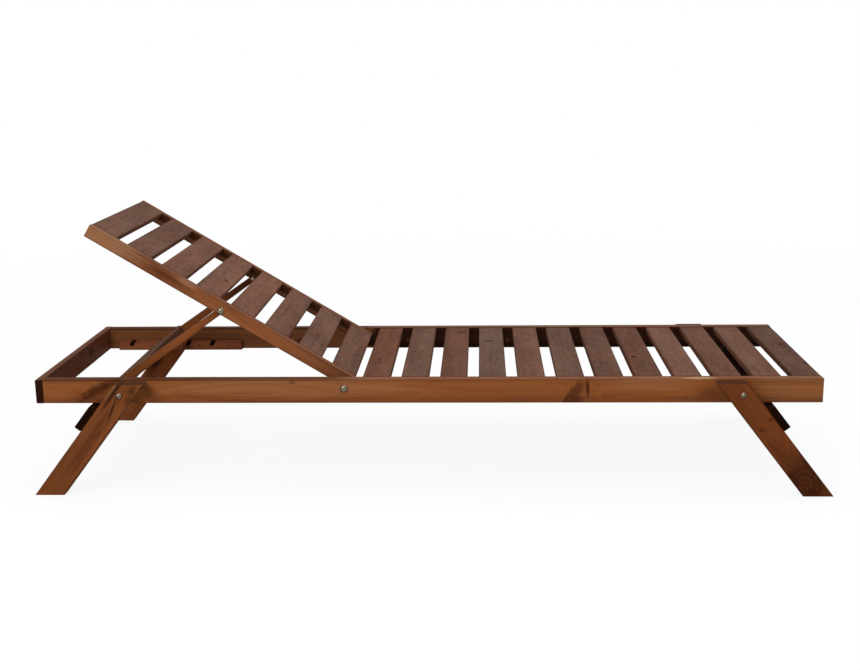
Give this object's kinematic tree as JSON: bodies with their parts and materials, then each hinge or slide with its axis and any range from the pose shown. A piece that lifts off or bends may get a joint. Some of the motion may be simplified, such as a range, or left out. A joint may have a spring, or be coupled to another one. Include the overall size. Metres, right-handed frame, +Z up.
{
  "type": "sun lounger",
  "caption": "Slatted wooden sun lounger with a hinged backrest held up by a prop on notched racks, and splayed legs that fold under the bed.",
  "frame": {"origin": "on the ground under the middle of the overall box, between the four feet", "axes": "+X along the bed from the head end to the foot end, +Y to the lying person's left, +Z up"},
  "size_m": [2.0458, 0.6954, 0.6915],
  "materials": {
    "rail_wood": "oiled, orange brown",
    "slat_wood": "rough sawn, greyish brown",
    "leg_wood": "oiled, red brown",
    "steel": "bright"
  },
  "bodies": {
    "frame": {"side_rail_right": "rail_wood", "side_rail_left": "rail_wood", "head_board": "rail_wood", "seat_ledger_right": "rail_wood", "seat_ledger_left": "rail_wood", "notched_rack_right": "rail_wood", "notched_rack_left": "rail_wood", "seat_slat_01": "slat_wood", "seat_slat_02": "slat_wood", "seat_slat_03": "slat_wood", "seat_slat_04": "slat_wood", "seat_slat_05": "slat_wood", "seat_slat_06": "slat_wood", "seat_slat_07": "slat_wood", "seat_slat_08": "slat_wood", "seat_slat_09": "slat_wood", "seat_slat_10": "slat_wood", "seat_slat_11": "slat_wood", "seat_slat_12": "slat_wood", "seat_slat_screws": "steel", "seat_ledger_screws": "steel", "rack_screws": "steel", "head_board_screws": "steel", "leg_bolts": "steel", "leg_sleeve_nuts": "steel", "leg_washers": "steel", "hinge_bolts": "steel", "hinge_cap_nuts": "steel", "hinge_spacers": "steel"},
    "backrest": {"back_rail_right": "rail_wood", "back_rail_left": "rail_wood", "back_ledger_right": "rail_wood", "back_ledger_left": "rail_wood", "back_slat_01": "slat_wood", "back_slat_02": "slat_wood", "back_slat_03": "slat_wood", "back_slat_04": "slat_wood", "back_slat_05": "slat_wood", "back_slat_06": "slat_wood", "back_slat_07": "slat_wood", "back_slat_08": "slat_wood", "back_slat_screws": "steel", "back_ledger_screws": "steel", "prop_bolts": "steel", "prop_nuts": "steel", "prop_washers": "steel"},
    "prop": {"prop_arm_right": "rail_wood", "prop_arm_left": "rail_wood", "prop_cross_board": "slat_wood", "prop_rod": "steel", "prop_board_screws": "steel"},
    "head_legs": {"leg_head_right": "leg_wood", "leg_head_left": "leg_wood", "leg_stretcher_head": "leg_wood", "stretcher_screws_head": "steel"},
    "foot_legs": {"leg_foot_right": "leg_wood", "leg_foot_left": "leg_wood", "leg_stretcher_foot": "leg_wood", "stretcher_screws_foot": "steel"}
  },
  "joints": [
    {"name": "backrest_hinge", "type": "hinge", "parent": "frame", "child": "backrest", "pos_m": [-0.215, 0, 0.276], "axis": [0, 1, 0], "range_deg": [-31.3, 18.2]},
    {"name": "prop_hinge", "type": "hinge", "parent": "backrest", "child": "prop", "pos_m": [-0.53167, 0, 0.46737], "axis": [0, 1, 0], "range_deg": [-36.4, 62.6]},
    {"name": "head_legs_fold", "type": "hinge", "parent": "frame", "child": "head_legs", "pos_m": [-0.786, 0, 0.266], "axis": [0, -1, 0], "range_deg": [0, 125]},
    {"name": "foot_legs_fold", "type": "hinge", "parent": "frame", "child": "foot_legs", "pos_m": [0.786, 0, 0.266], "axis": [0, 1, 0], "range_deg": [0, 125]}
  ],
  "couplings": [
    {"joint": "prop_hinge", "follows": "backrest_hinge", "ratio": -2}
  ]
}
